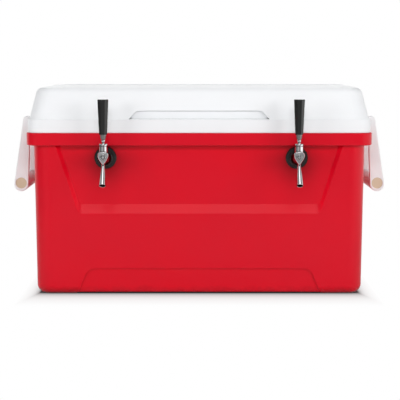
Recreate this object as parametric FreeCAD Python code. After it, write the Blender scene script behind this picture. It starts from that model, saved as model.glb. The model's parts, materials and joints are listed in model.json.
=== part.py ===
import FreeCAD, Part
import math
import os

# Jockey box: an insulated ice chest with two beer taps in its front wall.
# Millimetres, +Z up, the front faces -Y. The origin is on the floor, under the
# middle of the chest.

V = FreeCAD.Vector
UP, DOWN = V(0, 0, 1), V(0, 0, -1)
FRONT, BACK, RIGHT = V(0, -1, 0), V(0, 1, 0), V(1, 0, 0)

# --- chest walls
RIM_LENGTH, RIM_DEPTH, RIM_CORNER = 687.0, 390.0, 27.0
RIM_BOTTOM, RIM_HEIGHT = 300.0, 25.0
RIM_TOP = RIM_BOTTOM + RIM_HEIGHT
RIM_UNDER_ROUND, RIM_EDGE_ROUND = 3.0, 1.0
RIM_OUT_END, RIM_OUT_FRONT = 12.5, 11.0  # how far the rim stands out from the walls
BODY_LENGTH, BODY_DEPTH = RIM_LENGTH - 2 * RIM_OUT_END, RIM_DEPTH - 2 * RIM_OUT_FRONT
BODY_DRAFT = 3.5                         # each wall leans in by this much at the floor
BODY_CORNER = 32.0
BASE_ROUND = 18.0
SKIN = 3.0
WALL_THICK = 34.0                        # skin, foam and liner, just under the rim
CAVITY_LENGTH, CAVITY_DEPTH = BODY_LENGTH - 2 * WALL_THICK, BODY_DEPTH - 2 * WALL_THICK
CAVITY_FLOOR, CAVITY_CORNER, CAVITY_ROUND = 38.0, 34.0, 10.0
LINER_SKIN = 2.5

# --- panel sunk in the front and back walls, under the rim
PANEL_SINK = 9.5
PANEL_FACE = BODY_DEPTH / 2 - PANEL_SINK  # distance of its floor from the middle of the chest
PANEL_STEP = 8.0          # its depth where the ledge meets the wall
PANEL_TOP_HALF, PANEL_FOOT_HALF, PANEL_HEIGHT = 277.5, 240.0, 118.0
PANEL_FOOT = RIM_BOTTOM - PANEL_HEIGHT
PANEL_SIDE_RUN, PANEL_LEDGE_DROP = 7.0, 18.5
PANEL_CORNER, PANEL_FLOOR_ROUND, PANEL_EDGE_ROUND = 16.0, 2.5, 2.5

# --- shallow recess between the feet, front and back
BASE_SINK = 6.8
BASE_FACE = BODY_DEPTH / 2 - BASE_SINK
BASE_FOOT_HALF, BASE_TOP_HALF, BASE_TOP, BASE_CORNER = 246.0, 223.0, 53.0, 22.0
BASE_GAP, BASE_GAP_DEPTH = 4.5, 32.0

# --- lid
LID_SEAT_GAP = 0.4
LID_SKIN = 3.0
BAND_IN, BAND_CORNER, BAND_HEIGHT = 3.0, 25.0, 27.0   # in from the rim all round
BAND_LENGTH, BAND_DEPTH = RIM_LENGTH - 2 * BAND_IN, RIM_DEPTH - 2 * BAND_IN
BAND_TOP = RIM_TOP + BAND_HEIGHT
BAND_EDGE = 0.8
CROWN_IN, CROWN_CORNER, CROWN_HEIGHT = 2.4, 30.0, 62.0   # in from the band all round
CROWN_LENGTH, CROWN_DEPTH = BAND_LENGTH - 2 * CROWN_IN, BAND_DEPTH - 2 * CROWN_IN
CROWN_TOP = BAND_TOP + CROWN_HEIGHT
CROWN_LEAN, CROWN_ROUND = 15.0, 14.0
TRAY_INSET, TRAY_DEPTH = 26.0, 2.0
PLUG_GAP, PLUG_DROP = 5.0, 12.0
POCKET_FOOT_HALF, POCKET_TOP_HALF, POCKET_HEIGHT = 139.0, 124.0, 17.0
POCKET_TOP = BAND_TOP + POCKET_HEIGHT
POCKET_CORNER, POCKET_DEPTH, POCKET_ROUND = 13.0, 10.0, 2.0

# --- rear hinges
HINGE_X = (-220.0, 0.0, 220.0)
HINGE_WIDTH, HINGE_LEAF, HINGE_KNUCKLE = 46.0, 3.2, 4.6
HINGE_BACK = 6.2          # axis behind the rim's back face
HINGE_PIN, HINGE_PIN_END, HINGE_RUNNING, HINGE_SIDE_GAP = 2.4, 1.0, 0.06, 0.4
HINGE_MIDDLE = 15.4       # width of the lid's knuckle
LEAF_REACH = 22.0         # from the axis to the far edge of each leaf
LEAF_ROOT_GAP = 1.0       # between the level of the axis and the root of each leaf
LEAF_SCREW_X, LEAF_SCREW_REACH = 14.0, 14.0

# --- self-tapping screws
SCREW_SHAFT, SCREW_LENGTH, SCREW_HEAD, SCREW_HEAD_HEIGHT = 2.0, 14.0, 4.2, 2.4
SCREW_TIP_ROOM = 1.0      # hole beyond the screw's tip

# --- carrying handles (written for the right end; the left one mirrors it)
PIVOT_OUT, PIVOT_RISE = 6.9, 21.0        # from the end of the rim and from its top
PIVOT_X, PIVOT_Z = RIM_LENGTH / 2 + PIVOT_OUT, RIM_TOP + PIVOT_RISE
GRIP_OUT, GRIP_DROP = 14.4, 131.0        # from the pivots
GRIP_X, GRIP_Z = PIVOT_X + GRIP_OUT, PIVOT_Z - GRIP_DROP
ARM_OUTER, ARM_THICK = 101.0, 9.0
ARM_HEAD, GRIP_RADIUS = 8.8, 14.6
ARM_EDGE, ARM_CLEAR = 1.8, 1.6           # the arms pass the end of the rim at ARM_CLEAR
GRIP_BORE, GRIP_BORE_RISE = 11.3, 2.4
CORE_CLEARANCE, CORE_SET_BACK = 0.1, 1.5
PIVOT_PIN, PIVOT_RUNNING, PIVOT_SOCKET, PIVOT_END_GAP = 4.0, 0.08, 6.5, 0.3
BRACKET_THICK, BRACKET_MARGIN = 4.0, 2.5   # the margin is left on the rim, above and below
BRACKET_LOW, BRACKET_HIGH = RIM_BOTTOM + BRACKET_MARGIN, RIM_TOP - BRACKET_MARGIN
BRACKET_BOSS, BRACKET_LUG, BRACKET_SIDE_GAP = 6.9, 13.0, 0.5
BRACKET_GUSSET, BRACKET_GUSSET_RISE = 9.0, 8.0
BRACKET_SCREWS_Y = (-52.0, 0.0, 52.0)

# --- drain in the right end wall
DRAIN_Z, DRAIN_POCKET_RADIUS, DRAIN_SINK = 66.0, 26.0, 11.0
DRAIN_POCKET_FACE = BODY_LENGTH / 2 - DRAIN_SINK
DRAIN_TUBE, DRAIN_BORE, DRAIN_FLANGE = 10.0, 7.5, 17.0
DRAIN_FLANGE_THICK, DRAIN_GASKET_THICK = 3.0, 2.0
DRAIN_NUT_FLATS, DRAIN_NUT_THICK, DRAIN_TAIL = 30.0, 6.0, 2.5
PLUG_SHAFT, PLUG_LENGTH, PLUG_HEAD, PLUG_HEAD_THICK = 6.6, 18.0, 13.0, 4.5
PLUG_HEAD_GAP, PLUG_TIP = 0.1, 2.0
RING_DEPTH, RING_WIDTH, RING_PLACE = 1.6, 2.0, 6.0   # ring seal in the plug's groove
DRAIN_EDGE, RING_RUNNING = 1.0, 0.05

# --- through-wall fittings, at the taps and at the inlets
TAP_PITCH, TAP_SHIFT, TAP_DROP = 380.4, 3.8, 25.0   # the drilled pair sits off the middle
TAP_Z = RIM_BOTTOM - TAP_DROP
INLET_PITCH = 240.0
SHANK, SHANK_BORE, SHANK_HEAD, SHANK_HEAD_THICK = 11.1, 4.0, 12.6, 2.3
SHANK_FIT = 0.1
GASKET_BORE = 5.0
SHANK_INSIDE = 23.5       # length inside the chest
FLANGE, FLANGE_THICK, FLANGE_COLLAR, FLANGE_COLLAR_THICK = 22.0, 5.0, 15.3, 2.0
FLANGE_EDGE, COLLAR_EDGE = 1.4, 0.5
NUT_LIP, NUT_RADIUS, NUT_LENGTH, NUT_EDGE = 3.0, 15.0, 10.8, 1.2
GASKET_THICK = 1.5
WASHER, WASHER_THICK = 19.0, 2.0
LOCKNUT_FLATS, LOCKNUT_THICK = 32.0, 7.0
TAIL_WASHER, TAIL_WASHER_THICK = 9.6, 1.5
TAIL_FLANGE_THICK, TAIL_STEM, TAIL_BORE, TAIL_LENGTH = 2.2, 4.4, 3.2, 25.0
BEER_NUT_FLATS, BEER_NUT_GRIP, BEER_NUT_LIP = 27.0, 11.0, 2.8
INLET_OUTSIDE = 30.0      # length of the inlet shank outside the wall

# --- hoses
HOSE, HOSE_FIT, HOSE_GAP, HOSE_RUN, HOSE_BEND = 7.0, 0.05, 5.0, 18.0, 70.0
CLAMP_WALL, CLAMP_WIDTH, CLAMP_SET, CLAMP_EAR = 1.1, 7.0, 5.0, 3.0

# --- cold plate
PLATE_LENGTH, PLATE_DEPTH, PLATE_THICK, PLATE_CORNER = 430.0, 180.0, 30.0, 14.0
PLATE_EDGE = 3.0
RIDGE_RADIUS, RIDGE_RISE, RIDGE_PITCH, RIDGE_COUNT, RIDGE_SHORT = 6.0, 3.0, 26.0, 6, 26.0
BOSS, BOSS_RISE = 12.0, 4.0
STUB_FLATS, STUB_HEX, STUB_LENGTH = 14.0, 6.0, 26.0

# --- faucet, out from the wall (u) and up from the shank's axis (z)
NUT_GAP = 0.3             # between the coupling nut and the faucet
BELL, BELL_RIM, BELL_END, BELL_TIP = 12.9, 1.2, 47.0, 5.0
BELL_CURVE = ((30.0, 9.9), (39.0, 7.8))     # (u, radius) between its rim and its end
VALVE_Z = 6.0             # axis of the valve bore above the shank's axis
BARREL, BARREL_END = 9.2, 66.0
TAPER_RADIUS, TAPER_START, TAPER_END = 6.0, 24.0, 44.0   # the barrel grows out of the bell
CHAMBER, CHAMBER_START, CHAMBER_END = 6.0, 33.0, 67.0
SEAT_BORE, SEAT_START, SEAT_THICK = 3.6, 46.5, 2.5
FACE = 72.6
CAP, CAP_SEAT, CAP_STAND, CAP_EDGE, CAP_GROOVE = 5.2, 1.5, 1.2, 0.5, 0.6
LEVER_U = 60.0
HOUSING, HOUSING_BORE, HOUSING_TOP = 9.2, 6.4, 13.8
BALL, BALL_Z, BALL_FIT = 7.0, 20.0, 0.12
BONNET, BONNET_TOP, BONNET_FLANGE, BONNET_GROOVE = 8.4, 31.0, 8.9, 7.5
BONNET_GROOVE_LOW, BONNET_GROOVE_HIGH, BONNET_EDGE = 26.3, 28.2, 0.3
BONNET_LIP, BONNET_LIP_Z, BONNET_MOUTH = 5.4, 24.6, 8.0
FRICTION_BORE, FRICTION_THICK = 5.25, 3.1
TIP_LENGTH, TIP_BALL, TIP_NECK = 11.0, 1.9, 1.5
NECK, BEAD, BEAD_Z, STUD, STUD_TOP = 2.6, 4.0, 37.0, 3.0, 56.0
FERRULE_LOW, FERRULE_HIGH, FERRULE_FOOT, FERRULE_TOP, FERRULE_LAND = 4.9, 6.2, 40.3, 49.5, 1.5
KNOB_LOW_FLATS, KNOB_HIGH_FLATS, KNOB_TOP, KNOB_EDGE, KNOB_SIDES = 15.4, 21.0, 117.5, 0.8, 8
STUD_FIT = 0.05
PLUNGER_HEAD, PLUNGER_HEAD_THICK = 5.4, 2.6
SEAL, SEAL_THICK, SEAL_EDGE, SEAL_GAP = 5.6, 2.3, 0.9, 0.1
STEM, SLOT_STEM, SLOT_FLANGE, SLOT_FLANGE_THICK, SLOT_GAP = 1.8, 0.9, 4.6, 1.7, 0.3
SPOUT_TILT = 33.0         # forward of straight down
SPOUT_U, SPOUT_Z = 61.0, -1.0
SPOUT_LENGTH = 55.4
SPOUT_SECTIONS = (        # share of the length, half the width, half the depth
    (0.0, 3.4, 5.5), (0.17, 3.3, 4.8), (0.45, 4.8, 5.1), (0.72, 5.9, 6.0), (1.0, 6.7, 6.8))
SPOUT_BORE_TOP, SPOUT_BORE_END, SPOUT_BORE_START = 1.9, 5.9, 4.0
VENT, VENT_Z = 1.1, -9.7
SHIELD_HALF = ((0.0, 16.2), (5.6, 15.8), (9.4, 13.7), (10.8, 10.2), (9.9, 5.0), (7.0, -0.4), (4.1, -5.0))
SHIELD_FOOT = -8.6
SHIELD_SECTIONS = ((52.0, 0.74), (66.5, 1.0), (70.6, 1.0), (FACE, 0.9))
SPANNER_HOLES, SPANNER_HOLE, SPANNER_DEPTH = 5, 1.6, 1.2

PAST = 5.0                # how far a cutting shape runs past what it cuts


# --- shapes in general

def box(x0, x1, y0, y1, z0, z1):
    return Part.makeBox(x1 - x0, y1 - y0, z1 - z0, V(x0, y0, z0))


def rod(radius, start, end):
    axis = end - start
    return Part.makeCylinder(radius, axis.Length, start, axis)


def polygon(points):
    return Part.makePolygon(list(points) + [points[0]])


def prism_y(outline, y0, y1):
    """Outline of (x, z) points drawn out along Y."""
    face = Part.Face(polygon([V(x, y0, z) for x, z in outline]))
    return face.extrude(V(0, y1 - y0, 0))


def prism_x(outline, x0, x1):
    """Outline of (y, z) points drawn out along X."""
    face = Part.Face(polygon([V(x0, y, z) for y, z in outline]))
    return face.extrude(V(x1 - x0, 0, 0))


def turned(profile, origin=V(0, 0, 0), along=FRONT):
    """Profile of (radius, distance along the axis) points turned about the axis."""
    across = UP if abs(along.z) < 0.5 else RIGHT
    face = Part.Face(polygon([origin + across * r + along * u for r, u in profile]))
    solid = face.revolve(origin, along, 360)
    if solid.Volume < 0:
        solid.reverse()
    return solid


def ring(inner, outer, start, end, origin=V(0, 0, 0), along=FRONT):
    return turned([(inner, start), (outer, start), (outer, end), (inner, end)], origin, along)


def hex_nut(flats, bore, start, end, origin=V(0, 0, 0), along=FRONT):
    across = UP if abs(along.z) < 0.5 else RIGHT
    reach = flats / 2 / math.cos(math.pi / 6)
    turn = FreeCAD.Rotation(along, 60)
    corner, points = across * reach, []
    for _ in range(6):
        points.append(origin + along * start + corner)
        corner = turn.multVec(corner)
    blank = Part.Face(polygon(points)).extrude(along * (end - start))
    return blank.cut(rod(bore, origin + along * (start - PAST), origin + along * (end + PAST)))


def flat_sided(points_low, points_high):
    """Solid between two matching polygons whose sides stay flat."""
    return Part.makeLoft([polygon(points_low), polygon(points_high)], True, True)


def rounded(solid, radius, wanted):
    """Fillet the edges that the test picks out."""
    return solid.makeFillet(radius, [edge for edge in solid.Edges if wanted(edge)])


def at_height(z):
    return lambda edge: all(abs(v.Z - z) < 0.01 for v in edge.Vertexes)


def at_face(y):
    return lambda edge: all(abs(v.Y - y) < 0.01 for v in edge.Vertexes)


def rising(height):
    """Edges that climb more than half the given height."""
    return lambda edge: edge.BoundBox.ZLength > height / 2


def leaning_block(low, high, z0, z1, corner):
    """Block with rounded upright corners; low and high are its (length, depth) at z0 and z1."""
    (l0, d0), (l1, d1) = [(length / 2, depth / 2) for length, depth in (low, high)]
    reach = max(l0, l1, d0, d1) + PAST
    front = prism_y([(-l0, z0), (l0, z0), (l1, z1), (-l1, z1)], -reach, reach)
    end = prism_x([(-d0, z0), (d0, z0), (d1, z1), (-d1, z1)], -reach, reach)
    return rounded(front.common(end), corner, rising(z1 - z0))


def block(length, depth, z0, z1, corner):
    return leaning_block((length, depth), (length, depth), z0, z1, corner)


def both_ways(build):
    """The same shape at the front and, turned round, at the back."""
    front = build()
    back = front.copy()
    back.rotate(V(0, 0, 0), UP, 180)
    return [front, back]


def mirrored(shape):
    return shape.mirror(V(0, 0, 0), RIGHT)


def pan_screw(origin, along):
    """Screw whose head sits at the origin and whose shaft runs back into the piece."""
    crown = SCREW_HEAD * 0.7
    return turned([(0, -SCREW_LENGTH), (SCREW_SHAFT, -SCREW_LENGTH + SCREW_SHAFT), (SCREW_SHAFT, 0),
                   (SCREW_HEAD, 0), (SCREW_HEAD, SCREW_HEAD_HEIGHT / 2), (crown, SCREW_HEAD_HEIGHT),
                   (0, SCREW_HEAD_HEIGHT)], origin, along)


def screw_hole(origin, along):
    return rod(SCREW_SHAFT, origin, origin - along * (SCREW_LENGTH + SCREW_TIP_ROOM))


# --- chest

def panel_cutter(grow):
    """Stepped panel: its floor is upright, and its foot is a ledge that slopes out."""
    def outline(run, y):
        foot = PANEL_FOOT - grow - run * PANEL_LEDGE_DROP
        lean = (PANEL_TOP_HALF - PANEL_FOOT_HALF) / (RIM_BOTTOM - PANEL_FOOT)
        wide = PANEL_TOP_HALF + grow + run * PANEL_SIDE_RUN + lean * grow
        narrow = wide - lean * (RIM_BOTTOM + grow - foot)
        top = RIM_BOTTOM + grow
        return [V(-narrow, y, foot), V(narrow, y, foot), V(wide, y, top), V(-wide, y, top)]

    floor = -PANEL_FACE + grow
    runs = 3
    solid = flat_sided(outline(0, floor), outline(runs, floor - runs * PANEL_STEP))
    middle = (PANEL_FOOT + RIM_BOTTOM) / 2
    solid = rounded(solid, PANEL_CORNER,
                    lambda e: e.BoundBox.YLength > PANEL_STEP and e.BoundBox.ZMax < middle)
    return rounded(solid, PANEL_FLOOR_ROUND, at_face(floor))


def on_panel_edge(edge):
    """Edges where a panel's sides and ledge meet the wall."""
    bounds = edge.BoundBox
    wall = min(abs(bounds.YMin), abs(bounds.YMax)) > PANEL_FACE + PANEL_SINK / 2
    beside = max(abs(bounds.XMin), abs(bounds.XMax)) < BODY_LENGTH / 2 - BODY_CORNER
    ledge = PANEL_FOOT - 2 * PANEL_LEDGE_DROP
    return wall and beside and bounds.ZMin > ledge and bounds.ZMin < RIM_BOTTOM - PANEL_STEP


def base_cutter(grow):
    """Shallow recess between the feet, with the gap under it."""
    outer = -BODY_DEPTH / 2 - PAST
    foot, top = BASE_FOOT_HALF + grow, BASE_TOP_HALF + grow
    face = prism_y([(-foot, -PAST), (foot, -PAST), (top, BASE_TOP + grow), (-top, BASE_TOP + grow)],
                   outer, -BASE_FACE + grow)
    face = rounded(face, BASE_CORNER,
                   lambda e: e.BoundBox.YLength > BASE_SINK / 2 and e.BoundBox.ZMin > BASE_TOP / 2)
    gap_inner = -BODY_DEPTH / 2 + BASE_GAP_DEPTH + grow
    gap = box(-foot, foot, outer, gap_inner, -PAST, BASE_GAP + grow)
    return face.fuse(gap)


def chest_form(inset):
    """Outside of the chest (inset 0), or the space within its skin."""
    low = (BODY_LENGTH - 2 * (BODY_DRAFT + inset), BODY_DEPTH - 2 * (BODY_DRAFT + inset))
    high = (BODY_LENGTH - 2 * inset, BODY_DEPTH - 2 * inset)
    body = leaning_block(low, high, inset, RIM_BOTTOM + inset, BODY_CORNER - inset)
    body = rounded(body, BASE_ROUND - inset, at_height(inset))
    for cutter in both_ways(lambda: panel_cutter(inset)):
        body = body.cut(cutter)
    if inset == 0:
        body = rounded(body, PANEL_EDGE_ROUND, on_panel_edge)
    for cutter in both_ways(lambda: base_cutter(inset)):
        body = body.cut(cutter)
    rim = block(RIM_LENGTH - 2 * inset, RIM_DEPTH - 2 * inset, RIM_BOTTOM + inset, RIM_TOP,
                RIM_CORNER - inset)
    if inset == 0:
        rim = rounded(rim, RIM_UNDER_ROUND, at_height(RIM_BOTTOM))
        rim = rounded(rim, RIM_EDGE_ROUND, at_height(RIM_TOP))
    return body.fuse(rim)


def cavity(top):
    hollow = block(CAVITY_LENGTH, CAVITY_DEPTH, CAVITY_FLOOR, top, CAVITY_CORNER)
    return rounded(hollow, CAVITY_ROUND, at_height(CAVITY_FLOOR))


def liner_form():
    """Tub and flange of the liner, before the cavity is taken out."""
    tub = block(CAVITY_LENGTH + 2 * LINER_SKIN, CAVITY_DEPTH + 2 * LINER_SKIN,
                CAVITY_FLOOR - LINER_SKIN, RIM_TOP, CAVITY_CORNER + LINER_SKIN)
    tub = rounded(tub, CAVITY_ROUND + LINER_SKIN, at_height(CAVITY_FLOOR - LINER_SKIN))
    flange = block(RIM_LENGTH - 2 * SKIN, RIM_DEPTH - 2 * SKIN, RIM_TOP - LINER_SKIN, RIM_TOP,
                   RIM_CORNER - SKIN)
    return tub.fuse(flange)


# --- lid

LID_FOOT = RIM_TOP + LID_SEAT_GAP


def pocket_cutter(grow):
    """Finger pocket in the lean of the crown, open to the front."""
    outer = -CROWN_DEPTH / 2 - PAST
    foot, top = POCKET_FOOT_HALF + grow, POCKET_TOP_HALF + grow
    cutter = prism_y([(-foot, BAND_TOP - grow), (foot, BAND_TOP - grow), (top, POCKET_TOP + grow),
                      (-top, POCKET_TOP + grow)], outer, -CROWN_DEPTH / 2 + POCKET_DEPTH + grow)
    middle = (BAND_TOP + POCKET_TOP) / 2
    cutter = rounded(cutter, POCKET_CORNER,
                     lambda e: e.BoundBox.YLength > POCKET_DEPTH / 2 and e.BoundBox.ZMin > middle)
    floor = at_face(-CROWN_DEPTH / 2 + POCKET_DEPTH + grow)
    return rounded(cutter, POCKET_ROUND, lambda e: floor(e) and e.BoundBox.ZMax > middle)


def lid_form(inset):
    """Outside of the lid (inset 0), or the space within its skin."""
    step = BAND_TOP - inset
    band = block(BAND_LENGTH - 2 * inset, BAND_DEPTH - 2 * inset, LID_FOOT, step, BAND_CORNER - inset)
    band = rounded(band, BAND_EDGE, at_height(step))
    spread = CROWN_LEAN * inset / (CROWN_TOP - BAND_TOP) - inset
    low = (CROWN_LENGTH + 2 * spread, CROWN_DEPTH + 2 * spread)
    high = (low[0] - 2 * CROWN_LEAN, low[1] - 2 * CROWN_LEAN)
    crown = leaning_block(low, high, step, CROWN_TOP - inset, CROWN_CORNER - inset)
    crown = rounded(crown, CROWN_ROUND - inset, at_height(CROWN_TOP - inset))
    tray_length = CROWN_LENGTH - 2 * (CROWN_LEAN + TRAY_INSET)
    tray_depth = CROWN_DEPTH - 2 * (CROWN_LEAN + TRAY_INSET)
    slope = 4 * TRAY_DEPTH
    tray = leaning_block((tray_length, tray_depth), (tray_length + slope, tray_depth + slope),
                         CROWN_TOP - TRAY_DEPTH - inset, CROWN_TOP, CROWN_CORNER)
    return band.fuse(crown.cut(tray)).cut(pocket_cutter(inset))


def lid_pieces():
    space = lid_form(LID_SKIN)
    shell = lid_form(0).cut(space)
    plug_length, plug_depth = CAVITY_LENGTH - 2 * PLUG_GAP, CAVITY_DEPTH - 2 * PLUG_GAP
    plug_corner = CAVITY_CORNER - PLUG_GAP
    panel_foot = LID_FOOT - PLUG_DROP
    panel = block(BAND_LENGTH - 2 * LID_SKIN, BAND_DEPTH - 2 * LID_SKIN, LID_FOOT, LID_FOOT + LINER_SKIN,
                  BAND_CORNER - LID_SKIN)
    plug = block(plug_length, plug_depth, panel_foot, LID_FOOT + LINER_SKIN, plug_corner)
    plug = rounded(plug, LINER_SKIN * 1.6, at_height(panel_foot))
    hollow = block(plug_length - 2 * LINER_SKIN, plug_depth - 2 * LINER_SKIN, panel_foot + LINER_SKIN,
                   LID_FOOT + LINER_SKIN, plug_corner - LINER_SKIN)
    outside = panel.fuse(plug)
    liner = outside.cut(hollow)
    foam = space.fuse(hollow).cut(liner)
    holes = [screw_hole(*place) for place in lid_screw_places()]
    return shell.cut(holes), liner, foam.cut(holes)


# --- hinges

HINGE_Y, HINGE_Z = RIM_DEPTH / 2 + HINGE_BACK, RIM_TOP
LEAF_BACK = RIM_DEPTH / 2 + HINGE_LEAF


def chest_screw_places():
    z = HINGE_Z - LEAF_SCREW_REACH
    return [(V(x + side * LEAF_SCREW_X, LEAF_BACK, z), BACK) for x in HINGE_X for side in (-1, 1)]


def lid_screw_places():
    z = HINGE_Z + LEAF_SCREW_REACH
    return [(V(x + side * LEAF_SCREW_X, LEAF_BACK, z), BACK) for x in HINGE_X for side in (-1, 1)]


def knuckle(x0, x1, bore):
    return rod(HINGE_KNUCKLE, V(x0, HINGE_Y, HINGE_Z), V(x1, HINGE_Y, HINGE_Z)).cut(
        rod(bore, V(x0 - PAST, HINGE_Y, HINGE_Z), V(x1 + PAST, HINGE_Y, HINGE_Z)))


def hinge_pieces():
    """Chest leaves, lid leaves and pins of all the hinges."""
    chest_leaves, lid_leaves, pins = [], [], []
    half, middle = HINGE_WIDTH / 2, HINGE_MIDDLE / 2
    ends = [V(side * RIM_LENGTH, HINGE_Y, HINGE_Z) for side in (-1, 1)]
    tight, loose = rod(HINGE_PIN, *ends), rod(HINGE_PIN + HINGE_RUNNING, *ends)
    below, above = HINGE_Z - HINGE_KNUCKLE, HINGE_Z + HINGE_KNUCKLE
    for x in HINGE_X:
        leaf = box(x - half, x + half, RIM_DEPTH / 2, LEAF_BACK, HINGE_Z - LEAF_REACH, below)
        inner = middle + HINGE_SIDE_GAP
        for x0, x1 in ((x - half, x - inner), (x + inner, x + half)):
            root = box(x0, x1, RIM_DEPTH / 2, HINGE_Y, below - LEAF_ROOT_GAP, HINGE_Z - LEAF_ROOT_GAP)
            leaf = leaf.fuse([knuckle(x0, x1, HINGE_PIN), root.cut(tight)])
        chest_leaves.append(leaf)
        lid_face = BAND_DEPTH / 2
        leaf = box(x - half, x + half, lid_face, LEAF_BACK, above + LEAF_ROOT_GAP, HINGE_Z + LEAF_REACH)
        root = box(x - middle, x + middle, lid_face, HINGE_Y, HINGE_Z + LEAF_ROOT_GAP,
                   above + 2 * LEAF_ROOT_GAP)
        loose_knuckle = knuckle(x - middle, x + middle, HINGE_PIN + HINGE_RUNNING)
        lid_leaves.append(leaf.fuse([loose_knuckle, root.cut(loose)]))
        pins.append(rod(HINGE_PIN, V(x - half - HINGE_PIN_END, HINGE_Y, HINGE_Z),
                        V(x + half + HINGE_PIN_END, HINGE_Y, HINGE_Z)))
    chest_holes = [screw_hole(*place) for place in chest_screw_places()]
    lid_holes = [screw_hole(*place) for place in lid_screw_places()]
    chest_leaves = [leaf.cut(chest_holes) for leaf in chest_leaves]
    return chest_leaves, [leaf.cut(lid_holes) for leaf in lid_leaves], pins


# --- carrying handles

def tangent_normal(low, low_radius, high, high_radius):
    """Unit normal, on the outer side, of the line that touches both circles."""
    along = (high - low) / (high - low).Length
    share = (low_radius - high_radius) / (high - low).Length
    outward = V(along.z, 0, -along.x)
    return along * share + outward * math.sqrt(1 - share * share)


def handle():
    """One moulding: two tapered arms and the tubular grip between them."""
    pivot, grip = V(PIVOT_X, 0, PIVOT_Z), V(GRIP_X, 0, GRIP_Z)
    normal = tangent_normal(grip, GRIP_RADIUS, pivot, ARM_HEAD)
    inner_x = GRIP_X - GRIP_RADIUS
    outer_low, outer_high = grip + normal * GRIP_RADIUS, pivot + normal * ARM_HEAD
    outline = [(inner_x, GRIP_Z), (outer_low.x, outer_low.z), (outer_high.x, outer_high.z),
               (PIVOT_X, PIVOT_Z), (PIVOT_X - ARM_HEAD, PIVOT_Z), (RIM_LENGTH / 2 + ARM_CLEAR, RIM_TOP)]
    solid = rod(GRIP_RADIUS, grip + FRONT * ARM_OUTER, grip + BACK * ARM_OUTER)
    inner_face = ARM_OUTER - ARM_THICK
    sockets = []
    for side in (FRONT, BACK):
        y0, y1 = sorted((side.y * inner_face, side.y * ARM_OUTER))
        head = rod(ARM_HEAD, pivot + side * inner_face, pivot + side * ARM_OUTER)
        solid = solid.fuse([prism_y(outline, y0, y1), head])
        sockets.append(rod(PIVOT_PIN + PIVOT_RUNNING, pivot + side * (inner_face - PAST),
                           pivot + side * (inner_face + PIVOT_SOCKET + PIVOT_END_GAP)))
    solid = rounded(solid.removeSplitter(), ARM_EDGE,
                    lambda e: all(abs(abs(v.Y) - ARM_OUTER) < 0.01 for v in e.Vertexes))
    bore_axis = grip + UP * GRIP_BORE_RISE
    bore = rod(GRIP_BORE, bore_axis + FRONT * (ARM_OUTER + PAST), bore_axis + BACK * (ARM_OUTER + PAST))
    return solid.cut(sockets + [bore])


def grip_core():
    half = ARM_OUTER - CORE_SET_BACK
    axis = V(GRIP_X, 0, GRIP_Z + GRIP_BORE_RISE)
    return rod(GRIP_BORE - CORE_CLEARANCE, axis + FRONT * half, axis + BACK * half)


def bracket_screw_places():
    x = RIM_LENGTH / 2 + BRACKET_THICK
    return [(V(x, y, (BRACKET_LOW + BRACKET_HIGH) / 2), RIGHT) for y in BRACKET_SCREWS_Y]


def handle_bracket():
    """Bar on the end of the rim with a lug and boss inside each arm."""
    face = RIM_LENGTH / 2
    lug_outer = ARM_OUTER - ARM_THICK - BRACKET_SIDE_GAP
    bar = box(face, face + BRACKET_THICK, -lug_outer, lug_outer, BRACKET_LOW, BRACKET_HIGH)
    outline = [(face, BRACKET_LOW), (face + BRACKET_THICK, BRACKET_LOW),
               (face + BRACKET_GUSSET, BRACKET_LOW + BRACKET_GUSSET_RISE),
               (PIVOT_X + BRACKET_BOSS, PIVOT_Z), (face, PIVOT_Z)]
    pivot = V(PIVOT_X, 0, PIVOT_Z)
    for side in (FRONT, BACK):
        y0, y1 = sorted((side.y * (lug_outer - BRACKET_LUG), side.y * lug_outer))
        boss = rod(BRACKET_BOSS, pivot + side * (lug_outer - BRACKET_LUG), pivot + side * lug_outer)
        hole = rod(PIVOT_PIN, pivot + side * (lug_outer - BRACKET_LUG - PAST),
                   pivot + side * (lug_outer + PAST))
        bar = bar.fuse([prism_y(outline, y0, y1), boss]).cut(hole)
    return bar.cut([screw_hole(*place) for place in bracket_screw_places()])


def pivot_pins():
    pivot = V(PIVOT_X, 0, PIVOT_Z)
    inner_face = ARM_OUTER - ARM_THICK
    start = inner_face - BRACKET_SIDE_GAP - BRACKET_LUG
    return [rod(PIVOT_PIN, pivot + side * start, pivot + side * (inner_face + PIVOT_SOCKET))
            for side in (FRONT, BACK)]


# --- drain

DRAIN = V(DRAIN_POCKET_FACE, 0, DRAIN_Z)
DRAIN_WALL = DRAIN_POCKET_FACE - CAVITY_LENGTH / 2


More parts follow.
